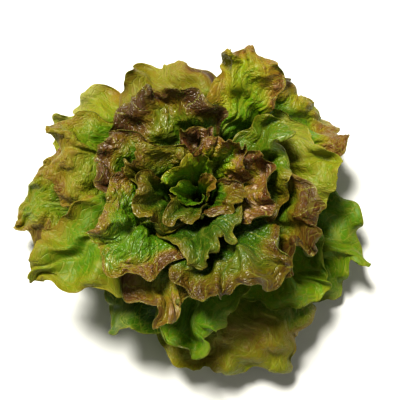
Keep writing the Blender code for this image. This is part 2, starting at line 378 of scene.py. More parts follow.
# Shift, in shells, by the leaf's own waves, tilt, droop and lean
def leafShift(u, v, length, aside, plan):
    bearing = np.arctan2(aside / plan["halfWidth"], length / plan["length"] - head["centre"])
    rim = np.clip(np.maximum(np.abs(u), v), 0, 1) * smoothStep(v / head["waveFoot"])
    a, b, c, _ = plan["phases"]
    ripple = np.sin(plan["waves"] * bearing + a + head["waveSway"] * np.sin(2 * bearing + b))
    finer = np.sin(head["fineWaves"] * plan["waves"] * bearing + c)
    waves = rim ** head["waveRim"] * ripple + head["fineWaveShare"] * rim ** head["fineWaveRim"] * finer
    shift = plan["waveHeight"] * waves
    shift += plan["tilt"] * u * v - plan["droop"] * u**2 * v + plan["lean"] * v**2
    return head["mostShift"] * np.tanh(shift / head["mostShift"])


def leafSurface(u, v, length, aside, plan):
    number = plan["number"]
    radius = shellPoint(length, np.zeros_like(length), np.full_like(length, number))[..., 0]
    reachRound = head["widestReachRound"]
    turn = plan["azimuth"] + reachRound * np.tanh(aside / radius / reachRound)
    shift = leafShift(u, v, length, aside, plan)
    shift = shift + sharedShift(turn, length / plan["length"], radius, number)
    return laidDown(swelled(shellPoint(length, turn, number + shift)))


rimTrack = {
    "step": 0.0005,
    "span": 12,  # steps either way that give the rim's direction
    "chunk": 2000,  # points measured at a time
}


# How far each point is from the leaf's rim, where along the rim that is, and the way there
def rimDistance(length, aside):
    edge = np.concatenate([
        np.stack([aside[:, 0], length[:, 0]], -1),
        np.stack([aside[-1, 1:-1], length[-1, 1:-1]], -1),
        np.stack([aside[::-1, -1], length[::-1, -1]], -1),
    ])
    run = np.concatenate([[0], np.cumsum(np.linalg.norm(np.diff(edge, axis=0), axis=1))])
    marks = np.arange(0, run[-1], rimTrack["step"])
    edge = np.stack([np.interp(marks, run, edge[:, k]) for k in (0, 1)], -1)
    flat = np.stack([aside, length], -1).reshape(-1, 2)
    away = np.empty(len(flat))
    nearest = np.empty(len(flat), int)
    for start in range(0, len(flat), rimTrack["chunk"]):
        some = slice(start, start + rimTrack["chunk"])
        gaps = np.linalg.norm(flat[some, None] - edge[None], axis=-1)
        nearest[some] = gaps.argmin(axis=1)
        away[some] = gaps.min(axis=1)
    places = np.arange(len(edge))
    before = edge[np.maximum(places - rimTrack["span"], 0)]
    after = edge[np.minimum(places + rimTrack["span"], len(edge) - 1)]
    run = after - before
    out = np.stack([run[:, 1], -run[:, 0]], -1) / np.linalg.norm(run, axis=1)[:, None]
    out *= np.sign((out * (edge - edge.mean(axis=0))).sum())
    shape = aside.shape
    return away.reshape(shape), marks[nearest].reshape(shape), out[nearest].reshape(*shape, 2)


cornerCells = 3  # rows and columns at the grid's tip corners that borrow from their neighbours
tinyLength, tinyArea, tinyFace = 1e-12, 1e-10, 1e-15


# The grid's two tip corners lie flat on the rim, where rows and columns run alike and give no normal
def borrowFromNeighbours(field):
    first, last = cornerCells, -1 - cornerCells
    field[last + 1:, :first] = field[last, first]
    field[last + 1:, last + 1:] = field[last, last]


# Unit normal towards the heart, and the directions on the surface of a step aside and a step along
def surfaceFrame(points, aside, length):
    pointU, pointV = np.gradient(points, axis=(1, 0))
    normal = unitOf(np.cross(pointU, pointV), tinyLength)
    asideU, asideV = np.gradient(aside, axis=(1, 0))
    lengthU, lengthV = np.gradient(length, axis=(1, 0))
    area = asideU * lengthV - asideV * lengthU
    area = np.where(np.abs(area) < tinyArea, tinyArea, area)[..., None]
    stepAside = (pointU * lengthV[..., None] - pointV * lengthU[..., None]) / area
    stepAlong = (pointV * asideU[..., None] - pointU * asideV[..., None]) / area
    for field in (normal, stepAside, stepAlong):
        borrowFromNeighbours(field)
    return normal, stepAside, stepAlong


blisterPlan = {
    "size": (0.0080, 0.0055),
    "height": 0.0042,
    "warp": 0.35,
    "slant": 0.55,  # rows of blisters run up along the side veins
    "stretch": 1.15,
    "border": 0.75,
    "flattest": 0.30,
    "smaller": 2.1,  # small blisters lie among the large ones, this many times smaller
    "smallerFrom": (7, 3),
    "smallBorder": 0.7,
    "smallShare": 0.25,
    "rimShare": 0.35,
    "rimFade": 0.006,
}


def blistersOn(aside, length, plan):
    size = between(blisterPlan["size"], plan["depth"])
    warp = softNoise(aside / size / 2, length / size / 2, seedOf("blisterWarp", plan))
    warp *= blisterPlan["warp"]
    x = aside / size + warp
    y = (length - blisterPlan["slant"] * np.abs(aside)) / size / blisterPlan["stretch"] - warp
    first, second, lot = cells(x, y, seedOf("blisters", plan))
    dome = np.sqrt(smoothStep((second - first) / blisterPlan["border"]))
    dome *= between((blisterPlan["flattest"], 1), lot)
    smaller, (fromX, fromY) = blisterPlan["smaller"], blisterPlan["smallerFrom"]
    first, second, lot = cells(smaller * x + fromX, smaller * y + fromY, seedOf("smallBlisters", plan))
    small = np.sqrt(smoothStep((second - first) / blisterPlan["smallBorder"])) * lot
    return between((dome, small), blisterPlan["smallShare"])


mending = {
    "cornerFrom": 1.62,  # where the grid's tip corners begin, as across plus along
    "cornerOver": 0.2,
    "cornerPasses": 14,
    "sharpest": -0.1,  # cosine between faces next to each other
    "unfoldPasses": 24,
    "unfoldReach": 5,
    "unfoldStep": 0.2,
}


# Evens out the relief where the grid's tip corners squeeze it
def evenCorners(offset, u, v):
    corner = smoothStep((np.abs(u) + v - mending["cornerFrom"]) / mending["cornerOver"])[..., None]
    for _ in range(mending["cornerPasses"]):
        even = offset.copy()
        across = offset[1:-1, :-2] + offset[1:-1, 2:]
        even[1:-1, 1:-1] = (across + offset[:-2, 1:-1] + offset[2:, 1:-1]) / 4
        even[-1, 1:-1] = (offset[-1, :-2] + offset[-1, 2:]) / 2
        for side, inner in ((0, 1), (-1, -2)):
            even[1:-1, side] = (offset[:-2, side] + offset[2:, side]) / 2
            even[-1, side] = (offset[-1, inner] + offset[-2, side]) / 2
        offset = offset + corner * (even - offset)
    return offset


# Marks the grid's points where the faces on either side turn back on each other
def foldedPoints(points):
    face = unitOf(np.cross(np.diff(points, axis=1)[:-1], np.diff(points, axis=0)[:, :-1]), tinyFace)
    folded = np.zeros(points.shape[:2])
    across = (face[:, 1:] * face[:, :-1]).sum(axis=-1) < mending["sharpest"]
    along = (face[1:] * face[:-1]).sum(axis=-1) < mending["sharpest"]
    folded[:-1, 1:-1] += across
    folded[1:, 1:-1] += across
    folded[1:-1, :-1] += along
    folded[1:-1, 1:] += along
    return folded > 0


# Lowers the relief, a little at a time, where it would fold over itself
def unfold(plain, offset):
    share = np.ones(plain.shape[:2])
    for _ in range(mending["unfoldPasses"]):
        folded = foldedPoints(plain + offset * share[..., None])
        if not folded.any():
            break
        near = np.pad(folded.astype(float), 1, mode="edge")
        inside = near[1:-1, 1:-1]
        for _ in range(mending["unfoldReach"]):
            inside[:] = (near[:-2, 1:-1] + near[2:, 1:-1] + near[1:-1, :-2] + near[1:-1, 2:] + inside) / 5
        share *= 1 - mending["unfoldStep"] * np.minimum(1, mending["unfoldReach"] * inside)
    return plain + offset * share[..., None]


rollPlan = {
    "width": 0.010,
    "turn": math.radians(110),
    "patch": 0.035,  # length of rim over which the roll comes and goes
    "middle": 0.5,
    "swing": 0.9,
    "leastTurn": 1e-3,
}


# The rim turns down in places, round a cylinder that lies along it
def rollRim(points, normal, rimward, away, rimPlace, blade, plan):
    width = rollPlan["width"]
    rollPart = np.clip(1 - away / width, 0, 1) * blade
    patch = softNoise(rimPlace / rollPlan["patch"], 0 * away, seedOf("roll", plan))
    strength = plan["roll"] * smoothStep(rollPlan["middle"] + rollPlan["swing"] * patch)
    turned = rollPlan["turn"] * strength
    angle = turned * rollPart
    safeTurn = np.maximum(turned, rollPlan["leastTurn"])
    onward = width * np.sin(angle) / safeTurn - width * rollPart
    outward = -width * (1 - np.cos(angle)) / safeTurn
    return points + rimward * onward[..., None] + normal * outward[..., None]


# Frills along the rim, each as wavelength, height, fade inwards
frills = ((0.026, 0.0030, 0.016), (0.0125, 0.0018, 0.011), (0.0068, 0.0010, 0.012))
frillPlan = {
    "least": 0.15,  # share that even a smooth leaf has
    "finerPower": 0.5,  # fine frills keep more to the blistered leaves
    "drift": 2.2,
    "driftLength": 0.05,
    "driftRow": 3,
    "height": 0.6,
    "heightLength": 0.03,
    "heightRow": 5,
    "fadePower": 1.5,
}


def frillLift(away, rimPlace, blade, scale, plan):
    lift = np.zeros_like(away)
    for k, (wavelength, height, fade) in enumerate(frills):
        frilly = plan["blisters"] ** (1 + frillPlan["finerPower"] * k)
        frilly = between((frillPlan["least"], 1), frilly)
        row = 0 * away + frillPlan["driftRow"] * k
        drift = softNoise(rimPlace / frillPlan["driftLength"], row, seedOf("frillDrift", plan))
        phase = 2 * math.pi * rimPlace / (wavelength * scale) + frillPlan["drift"] * drift
        row = 0 * away + frillPlan["heightRow"] * k
        uneven = softNoise(rimPlace / frillPlan["heightLength"], row, seedOf("frillHeight", plan))
        uneven = frillPlan["height"] + frillPlan["height"] * uneven
        fading = np.exp(-((away / fade / scale) ** frillPlan["fadePower"]))
        lift += height * frilly * scale * uneven * fading * np.sin(phase) * blade
    return lift


relief = {
    "bladeFrom": 0.12,  # share of the length where the petiole becomes the blade
    "bladeOver": 0.3,
    "heartScale": 0.7,
    "crumples": ((0.020, 0.0020), (0.009, 0.0011)),  # each as size, height
    "leastCrumple": 0.2,
    "ribWidth": 0.0045,
    "ribNarrowing": 0.75,
    "ribGroove": 0.0010,
    "lowest": 0.0013,
}


# The blade's upper face with its blisters, crumples, frills and rolled rim, and what the material reads
def leafRelief(u, v, plan):
    length, aside = leafOutline(u, v, plan)
    plain = leafSurface(u, v, length, aside, plan)
    away, rimPlace, way = rimDistance(length, aside)
    normal, stepAside, stepAlong = surfaceFrame(plain, aside, length)
    rimward = unitOf(way[..., :1] * stepAside + way[..., 1:] * stepAlong, 1.0)
    blade = smoothStep((length / plan["length"] - relief["bladeFrom"]) / relief["bladeOver"])
    points = rollRim(plain, normal, rimward, away, rimPlace, blade, plan)

    normal, _, _ = surfaceFrame(points, aside, length)
    scale = between((1, relief["heartScale"]), plan["depth"])
    lift = frillLift(away, rimPlace, blade, scale, plan)
    for k, (size, height) in enumerate(relief["crumples"]):
        crumple = softNoise(aside / size, length / size, seedOf("crumples", plan) + k)
        lift += height * scale * crumple * blade * (relief["leastCrumple"] + plan["blisters"])
    ribWidth = relief["ribWidth"] * (1 - relief["ribNarrowing"] * length / plan["length"]) * scale
    rib = np.exp(-((aside / ribWidth) ** 2))
    offRim = between((blisterPlan["rimShare"], 1), smoothStep(away / blisterPlan["rimFade"]))
    clear = (1 - rib) * blade * offRim
    puff = blistersOn(aside, length, plan)
    lift += blisterPlan["height"] * scale * plan["blisters"] * puff * clear
    lift -= relief["ribGroove"] * rib * blade
    points = unfold(plain, evenCorners(points + normal * lift[..., None] - plain, u, v))
    points[..., 2] = np.maximum(points[..., 2], relief["lowest"])
    return points, length, aside, away, puff * clear, rib


flushing = {
    "olive": 0.36,
    "oliveDrift": 0.3,
    "from": (0.53, 0.34),  # share of a leaf's length where green turns olive, green leaf to red leaf
    "over": 0.38,
    "rimReach": 0.020,
    "heartRim": 0.5,
    "rimSooner": 0.12,
    "drift": 0.16,
    "driftSize": 0.042,
    "patches": ((0.055, 0.42), (0.022, 0.24), (0.008, 0.12)),  # each as size, share
    "patchSeeds": 50,
    "leastPatches": 0.35,
    "redAllOver": 0.35,
    "redRim": 0.60,
    "redBlisters": 0.35,
    "redExposed": 0.20,
    "sheltered": 0.15,
    "edge": 0.28,
    "span": 0.55,
    "tint": 0.12,
    "full": 0.75,
}


# Green at the foot turns olive and red-brown where light falls: on rims, blisters and the upper part
def flushOn(length, aside, away, puff, plan):
    rim = np.exp(-away / flushing["rimReach"] / between((1, flushing["heartRim"]), plan["depth"]))
    size = flushing["driftSize"]
    drift = softNoise(aside / size, length / size, seedOf("drift", plan))
    begins = between(flushing["from"], plan["red"])
    exposed = length / plan["length"] - begins + flushing["drift"] * drift + flushing["rimSooner"] * rim
    exposed = smoothStep(exposed / flushing["over"])
    patch = 0
    for k, (size, share) in enumerate(flushing["patches"]):
        share = share * between((1, plan["blisters"]), min(k, 1))
        seed = seedOf("patches", plan) + flushing["patchSeeds"] * k
        patch = patch + share * softNoise(aside / size, length / size, seed)
    amount = flushing["redAllOver"] + flushing["redRim"] * rim
    amount = amount + flushing["redBlisters"] * puff * plan["blisters"] + flushing["redExposed"] * exposed
    amount = plan["red"] * amount + patch * between((flushing["leastPatches"], 1), plan["red"])
    amount = amount * between((flushing["sheltered"], 1), exposed)
    olive = flushing["olive"] * plan["olive"] * exposed * (1 + flushing["oliveDrift"] * drift)
    full = smoothStep((amount - flushing["edge"]) / flushing["span"])
    return olive + flushing["tint"] * amount + flushing["full"] * full


# Where outer leaf tips get a pale painted sheen
tipSheenPlan = {
    "size": 0.034,
    "finer": 3,  # fine patches among the wide ones, this many times smaller
    "fineShare": 0.4,
    "from": 0.50,
    "over": 0.30,
    "until": 0.42,
    "lessOnBlisters": 0.6,
    "rarity": 0.05,
    "softness": 0.7,
    "share": 0.60,
}


# Tips of outer leaves get a dull pale painted sheen, as of light on their upper faces, in wide patches,
# the more the smoother the leaf
def tipSheenOn(length, aside, plan):
    size, finer = tipSheenPlan["size"], tipSheenPlan["finer"]
    patch = softNoise(aside / size, length / size, seedOf("tipSheen", plan))
    fine = softNoise(aside / size * finer, length / size * finer, seedOf("fineTipSheen", plan))
    patch = patch + tipSheenPlan["fineShare"] * fine
    high = smoothStep((length / plan["length"] - tipSheenPlan["from"]) / tipSheenPlan["over"])
    high = high * (1 - smoothStep(plan["depth"] / tipSheenPlan["until"]))
    high = high * (1 - tipSheenPlan["lessOnBlisters"] * plan["blisters"])
    return tipSheenPlan["share"] * high * smoothStep((patch - tipSheenPlan["rarity"]) / tipSheenPlan["softness"])


thickness = {
    "blade": (0.0009, 0.0006),
    "rimShare": 0.45,
    "rimFade": 0.004,
    "rib": 0.0034,
    "ribHalfWidth": 0.0065,
    "ribToHeart": 1.2,  # powers by which the rib thins towards the heart and its leaf's tip
    "ribToTip": 1.4,
}


def leafThickness(length, aside, away, plan):
    share = np.clip(length / plan["length"], 0, 1)
    blade = between(thickness["blade"], plan["depth"])
    blade = blade * between((thickness["rimShare"], 1), smoothStep(away / thickness["rimFade"]))
    middle = np.exp(-((aside / thickness["ribHalfWidth"]) ** 2))
    thinner = (1 - plan["depth"]) ** thickness["ribToHeart"]
    return blade + thickness["rib"] * thinner * (1 - share) ** thickness["ribToTip"] * middle


def deselectAll():
    if bpy.context.object and bpy.context.object.mode != "OBJECT":
        bpy.ops.object.mode_set(mode="OBJECT")
    bpy.ops.object.select_all(action="DESELECT")


def pointsOf(mesh):
    places = np.empty(len(mesh.vertices) * 3, np.float32)
    mesh.vertices.foreach_get("co", places)
    return places.reshape(-1, 3).astype(float)


def movePoints(mesh, places):
    mesh.vertices.foreach_set("co", np.ravel(places).astype(np.float32))
    mesh.update()


def storeOnPoints(mesh, name, values):
    layer = mesh.attributes.new(name, "FLOAT", "POINT")
    layer.data.foreach_set("value", np.ravel(values).astype(np.float32))


markings = {
    # Width of the thin painted highlight along each rim
    "rimGlint": 0.0012,
    "ribEnd": 1.1,
    # Where a blade's foot is darkened with painted shade
    "shadedFootFrom": 0.15,
    "shadedFootOver": 0.42,
}


# What the material reads on each point, and the flat leaf as a UV map
def markLeaf(mesh, length, aside, away, puff, rib, plan):
    share = length / plan["length"]
    marks = {
        "flush": flushOn(length, aside, away, puff, plan),
        "puff": puff,
        # Pale painted sheen on outer leaf tips
        "tipSheen": tipSheenOn(length, aside, plan),
        # A thin painted highlight along the rim, where the edge catches the light
        "rim": np.exp(-away / markings["rimGlint"]),
        "rib": rib * np.clip(markings["ribEnd"] - share, 0, 1),
        # Blade feet darkened with painted shade of the gaps between leaves
        "foot": 1 - smoothStep((share - markings["shadedFootFrom"]) / markings["shadedFootOver"]),
        "crinkle": np.full(share.shape, plan["blisters"]),
        "bright": np.full(share.shape, plan["bright"]),
    }
    for name, values in marks.items():
        storeOnPoints(mesh, name, values)
    corners = np.empty(len(mesh.loops), int)
    mesh.loops.foreach_get("vertex_index", corners)
    onLeaf = np.stack([np.ravel(aside), np.ravel(length)], -1)[corners]
    mesh.uv_layers[0].name = "onLeaf"
    mesh.uv_layers[0].data.foreach_set("uv", np.ravel(onLeaf).astype(np.float32))


# Gives the sheet its flesh, on the side away from the heart
def thickenLeaf(leaf, amounts):
    thickest = thickness["blade"][0] + thickness["rib"]
    flesh = leaf.vertex_groups.new(name="flesh")
    for index, amount in enumerate(np.ravel(amounts)):
        flesh.add([index], float(amount) / thickest, "REPLACE")
    slab = leaf.modifiers.new("flesh", "SOLIDIFY")
    slab.thickness = thickest
    slab.offset = -1
    slab.vertex_group = flesh.name
    bpy.ops.object.modifier_apply(modifier=slab.name)
    leaf.vertex_groups.clear()
    bpy.ops.object.shade_smooth()


leafGrid = {
    "rowsOutHeart": (94, 60),
    "columnsOutHeart": (112, 68),
    "finer": (0.86, 1.15),  # smooth leaves have a coarser grid than blistered ones
    "rowsTowardsRim": 0.8,
}


def makeLeaf(name, plan, finish):
    finer = between(leafGrid["finer"], plan["blisters"])
    rows = round(between(leafGrid["rowsOutHeart"], plan["depth"]) * finer)
    columns = round(between(leafGrid["columnsOutHeart"], plan["depth"]) * finer)
    deselectAll()
    bpy.ops.mesh.primitive_grid_add(x_subdivisions=columns, y_subdivisions=rows, size=2)
    leaf = bpy.context.object
    leaf.name = "leafOf_" + name
    mesh = leaf.data
    flat = pointsOf(mesh).reshape(rows + 1, columns + 1, 3)
    u = -flat[..., 0]
    v = (np.clip(flat[..., 1] + 1, 0, 2) / 2) ** leafGrid["rowsTowardsRim"]
    points, length, aside, away, puff, rib = leafRelief(u, v, plan)
    movePoints(mesh, points)
    markLeaf(mesh, length, aside, away, puff, rib, plan)
    thickenLeaf(leaf, leafThickness(length, aside, away, plan))
    mesh = leaf.data
    under = np.zeros(len(mesh.vertices))
    under[u.size:] = 1
    storeOnPoints(mesh, "under", under)
    mesh.materials.clear()
    mesh.materials.append(finish)
    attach(leaf, "root")
    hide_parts(name)
    return leaf


def addNode(tree, kind, **values):
    made = tree.nodes.new(kind)
    for name, value in values.items():
        setattr(made, name, value)
    return made


# Feeds sockets by position: another node's output is linked, and a number or colour is set
def feed(tree, made, *values):
    for socket, value in zip(made.inputs, values):
        if isinstance(value, bpy.types.NodeSocket):
            tree.links.new(value, socket)
        elif value is not None:
            socket.default_value = value
    return made.outputs[0]


def calc(tree, operation, *values):
    return feed(tree, addNode(tree, "ShaderNodeMath", operation=operation), *values)


def product(tree, first, *others):
    for other in others:
        first = calc(tree, "MULTIPLY", first, other)
    return first


def ease(tree, value, low, high):
    made = addNode(tree, "ShaderNodeMapRange", interpolation_type="SMOOTHSTEP")
    return feed(tree, made, value, low, high, 0.0, 1.0)


def blend(tree, share, first, second):
    made = addNode(tree, "ShaderNodeMix", data_type="RGBA")
    for socket, value in ((made.inputs[0], share), (made.inputs[6], first), (made.inputs[7], second)):
        if isinstance(value, bpy.types.NodeSocket):
            tree.links.new(value, socket)
        else:
            socket.default_value = value
    return made.outputs[2]


def readPoint(tree, name):
    made = addNode(tree, "ShaderNodeAttribute", attribute_name=name)
    return made.outputs["Fac"]


def rampOf(tree, share, stops):
    made = addNode(tree, "ShaderNodeValToRGB")
    ramp = made.color_ramp
    while len(ramp.elements) < len(stops):
        ramp.elements.new(0.5)
    for element, (place, colour) in zip(ramp.elements, stops):
        element.position = place
        element.color = (*colour, 1)
    return feed(tree, made, share)


def noiseAt(tree, place, scale, detail):
    made = addNode(tree, "ShaderNodeTexNoise")
    tree.links.new(place, made.inputs["Vector"])
    made.inputs["Scale"].default_value = scale
    made.inputs["Detail"].default_value = detail
    return made.outputs["Fac"]


# A net of cells: 0 on the lines between them, and 1 from a width inwards
def cellsAt(tree, place, scale, width):
    made = addNode(tree, "ShaderNodeTexVoronoi", feature="DISTANCE_TO_EDGE")
    tree.links.new(place, made.inputs["Vector"])
    made.inputs["Scale"].default_value = scale
    return ease(tree, made.outputs[0], 0.0, width)


def newFinish(name):
    made = bpy.data.materials.new(name)
    made.use_nodes = True
    return made, made.node_tree, made.node_tree.nodes["Principled BSDF"]


# Bump of a height, and flesh that lets some light through
def giveFlesh(tree, shader, height, look):
    bump = addNode(tree, "ShaderNodeBump")
    bump.inputs["Strength"].default_value = look["bump"]
    bump.inputs["Distance"].default_value = look["bumpDistance"]
    tree.links.new(height, bump.inputs["Height"])
    tree.links.new(bump.outputs[0], shader.inputs["Normal"])
    shader.inputs["Subsurface Weight"].default_value = look["through"]
    shader.inputs["Subsurface Radius"].default_value = look["lightReach"]
    shader.inputs["Subsurface Scale"].default_value = look["lightScale"]


# Colours of a blade; dull and bright run from green by olive to red-brown
leafColours = {
    "dull": ((0.0, (0.017, 0.062, 0.001)), (0.15, (0.036, 0.084, 0.002)), (0.34, (0.084, 0.094, 0.003)),
             (0.58, (0.112, 0.082, 0.002)), (0.80, (0.086, 0.048, 0.002)), (1.0, (0.050, 0.024, 0.002))),
    "bright": ((0.0, (0.085, 0.240, 0.002)), (0.15, (0.135, 0.270, 0.002)), (0.34, (0.255, 0.275, 0.006)),
               (0.58, (0.280, 0.198, 0.010)), (0.80, (0.215, 0.104, 0.014)), (1.0, (0.122, 0.046, 0.013))),
    # Deep green feet: the leaf's green darkened as painted shade of the gaps between leaves
    "dullShadedFoot": (0.015, 0.070, 0.001, 1),
    "brightShadedFoot": (0.080, 0.215, 0.002, 1),
    # Pale waxy bloom with painted sheen on blister tops
    "bloomAndSheen": (0.450, 0.320, 0.200, 1),
    # Pale painted sheen on outer leaf tips
    "tipSheen": (0.420, 0.390, 0.120, 1),
    "vein": (0.290, 0.290, 0.035, 1),
    # Painted highlight along the rim's edge
    "rimGlint": (0.300, 0.240, 0.030, 1),
    "under": (0.100, 0.160, 0.020, 1),
}
leafLook = {
    "mottleScale": 260,
    "mottleDetail": 5,
    "mottleSwing": 0.5,
    "footShadeShare": 0.8,
    "tipSheenMottle": (0.25, 0.60),
    # Where the painted sheen with waxy bloom lies on blister tops, and how the leaf's brightness
    # strengthens it
    "bloomAndSheenPuff": (0.20, 0.8),
    "bloomAndSheenFlush": (0.35, 0.80),
    "bloomAndSheenMottle": (0.35, 0.62),
    "bloomAndSheenPower": 2.0,
    "veinSlant": -0.9,
    "veinWander": 0.006,
    "veinSpacing": 0.017,
    "veinWidth": 0.045,
    "veinShare": 0.65,
    "netScale": 190,
    "netWidth": 0.09,
    "rimShare": 0.5,
    "underShare": 0.55,
    "roughMottle": 0.25,
    "roughLess": 0.12,
    "roughUnder": 0.15,
    "creaseScale": 330,
    "creaseWidth": 0.35,
    "creaseHeight": 0.9,
    "mottleHeight": 0.6,
    "netHeight": -0.35,
    "bump": 0.6,
    "bumpDistance": 0.0014,
    "through": 0.2,
    "lightReach": (0.7, 1.0, 0.15),
    "lightScale": 0.0025,
}


def bladeColour(tree, mottle, settings):
    bright = readPoint(tree, "bright")
    swing = leafLook["mottleSwing"]
    mottled = calc(tree, "MULTIPLY_ADD", mottle, swing, -swing / 2)
    flush = calc(tree, "ADD", readPoint(tree, "flush"), mottled)
    dullBlade, brightBlade = (rampOf(tree, flush, leafColours[kind]) for kind in ("dull", "bright"))
    colour = blend(tree, bright, dullBlade, brightBlade)
    # Towards its foot the blade turns a deep green, painted shade of the gaps between the leaves
    foot = blend(tree, bright, leafColours["dullShadedFoot"], leafColours["brightShadedFoot"])
    footShadeShare = product(tree, readPoint(tree, "foot"), leafLook["footShadeShare"])
    colour = blend(tree, footShadeShare, colour, foot)
    # Pale painted sheen on the tips of outer leaves, in mottled patches
    tipSheen = product(tree, readPoint(tree, "tipSheen"), ease(tree, mottle, *leafLook["tipSheenMottle"]))
    colour = blend(tree, tipSheen, colour, leafColours["tipSheen"])

    # Pale waxy bloom and a painted sheen, light off their glossy domes, lie on the tops of red blisters,
    # mostly on the bright leaves
    bloomAndSheen = product(
        tree,
        ease(tree, readPoint(tree, "puff"), *leafLook["bloomAndSheenPuff"]),
        ease(tree, flush, *leafLook["bloomAndSheenFlush"]),
        ease(tree, mottle, *leafLook["bloomAndSheenMottle"]),
        calc(tree, "POWER", bright, leafLook["bloomAndSheenPower"]),
        settings["bloomAndSheen"],
    )
    return blend(tree, bloomAndSheen, colour, leafColours["bloomAndSheen"])


# Side veins leave the midrib slanting up, and a net of fine ones lies between them
def bladeVeins(tree, place, mottle, net, settings):
    apart = addNode(tree, "ShaderNodeSeparateXYZ")
    feed(tree, apart, place)
    aside, length = apart.outputs["X"], apart.outputs["Y"]
    slant = calc(tree, "MULTIPLY_ADD", calc(tree, "ABSOLUTE", aside), leafLook["veinSlant"], length)
    slant = calc(tree, "MULTIPLY_ADD", mottle, leafLook["veinWander"], slant)
    side = calc(tree, "PINGPONG", calc(tree, "DIVIDE", slant, leafLook["veinSpacing"]), 0.5)
    side = calc(tree, "SUBTRACT", 1.0, ease(tree, side, 0.0, leafLook["veinWidth"]))
    side = product(tree, side, leafLook["veinShare"])
    veins = calc(tree, "MAXIMUM", readPoint(tree, "rib"), side)
    return calc(tree, "MAXIMUM", veins, product(tree, net, settings["net"]))


def leafFinish(name, settings):
    made, tree, shader = newFinish(name)
    place = addNode(tree, "ShaderNodeUVMap", uv_map="onLeaf").outputs[0]
    mottle = noiseAt(tree, place, leafLook["mottleScale"], leafLook["mottleDetail"])
    net = cellsAt(tree, place, leafLook["netScale"], leafLook["netWidth"])
    net = calc(tree, "SUBTRACT", 1.0, net)
    veins = bladeVeins(tree, place, mottle, net, settings)
    colour = blend(tree, veins, bladeColour(tree, mottle, settings), leafColours["vein"])
    # A thin painted highlight runs along each rim, where the edge catches the light
    rimGlint = product(tree, readPoint(tree, "rim"), leafLook["rimShare"])
    colour = blend(tree, rimGlint, colour, leafColours["rimGlint"])
    under = readPoint(tree, "under")
    underShare = product(tree, under, leafLook["underShare"])
    colour = blend(tree, underShare, colour, leafColours["under"])
    tree.links.new(colour, shader.inputs["Base Color"])

    # Smooth leaves are more matt than blistered ones, and undersides more than upper faces
    crinkle = readPoint(tree, "crinkle")
    rough = settings["roughness"] - leafLook["roughLess"] + settings["matt"]
    rough = calc(tree, "MULTIPLY_ADD", mottle, leafLook["roughMottle"], rough)
    rough = calc(tree, "MULTIPLY_ADD", crinkle, -settings["matt"], rough)
    rough = calc(tree, "MULTIPLY_ADD", under, leafLook["roughUnder"], rough)
    tree.links.new(rough, shader.inputs["Roughness"])

    creases = cellsAt(tree, place, leafLook["creaseScale"], leafLook["creaseWidth"])
    creases = product(tree, creases, crinkle)
    height = product(tree, mottle, leafLook["mottleHeight"])
    height = calc(tree, "MULTIPLY_ADD", creases, leafLook["creaseHeight"], height)
    height = calc(tree, "MULTIPLY_ADD", net, leafLook["netHeight"], height)
    giveFlesh(tree, shader, height, leafLook)
    shader.inputs["Specular IOR Level"].default_value = settings["shine"]
    return made


# Each kind of blade sets how strong the painted sheen with waxy bloom on blister tops is
bladeSettings = {
    "outer_leaf": {"net": 0.28, "bloomAndSheen": 0.20, "roughness": 0.38, "matt": 0.14, "shine": 0.26},
    "middle_leaf": {"net": 0.17, "bloomAndSheen": 0.90, "roughness": 0.31, "matt": 0.18, "shine": 0.42},
    "heart_leaf": {"net": 0.14, "bloomAndSheen": 0.40, "roughness": 0.30, "matt": 0.12, "shine": 0.42},
}
finishes = {}
for kind, settings in bladeSettings.items():
    finishes[kind] = leafFinish(kind[:-5] + "LeafBlade", settings)


# Old leaf scars climb round the stem's side, and its cut face is hollowed
def roughenStem(mesh):
    places = pointsOf(mesh)
    turn = np.arctan2(places[:, 1], places[:, 0])
    climb = places[:, 2] / stem["scarSpacing"] + turn / (2 * math.pi) * stem["scarSpirals"]
    uneven = 1 - stem["scarUneven"] + stem["scarUneven"] * np.sin(5 * turn + 2 * climb)
    scar = np.maximum(0, np.sin(2 * math.pi * climb)) ** stem["scarPower"] * uneven
    narrowed = stem["scarDepth"] * scar + stem["outOfRound"] * np.sin(3 * turn + 1)
    side = smoothStep(places[:, 2] / stem["scarFrom"])
    places[:, :2] *= (1 - side * narrowed)[:, None]
    reach = np.hypot(places[:, 0], places[:, 1])
    dish = stem["dish"] * (1 + stem["dishUneven"] * np.sin(3 * turn)) * (1 - (reach / stem["radius"]) ** 2)
    onCut = (places[:, 2] < stem["cutLevel"]) & (reach < stem["dishReach"] * stem["radius"])
    places[:, 2] += np.where(onCut, np.maximum(dish, 0), 0)
    movePoints(mesh, places)


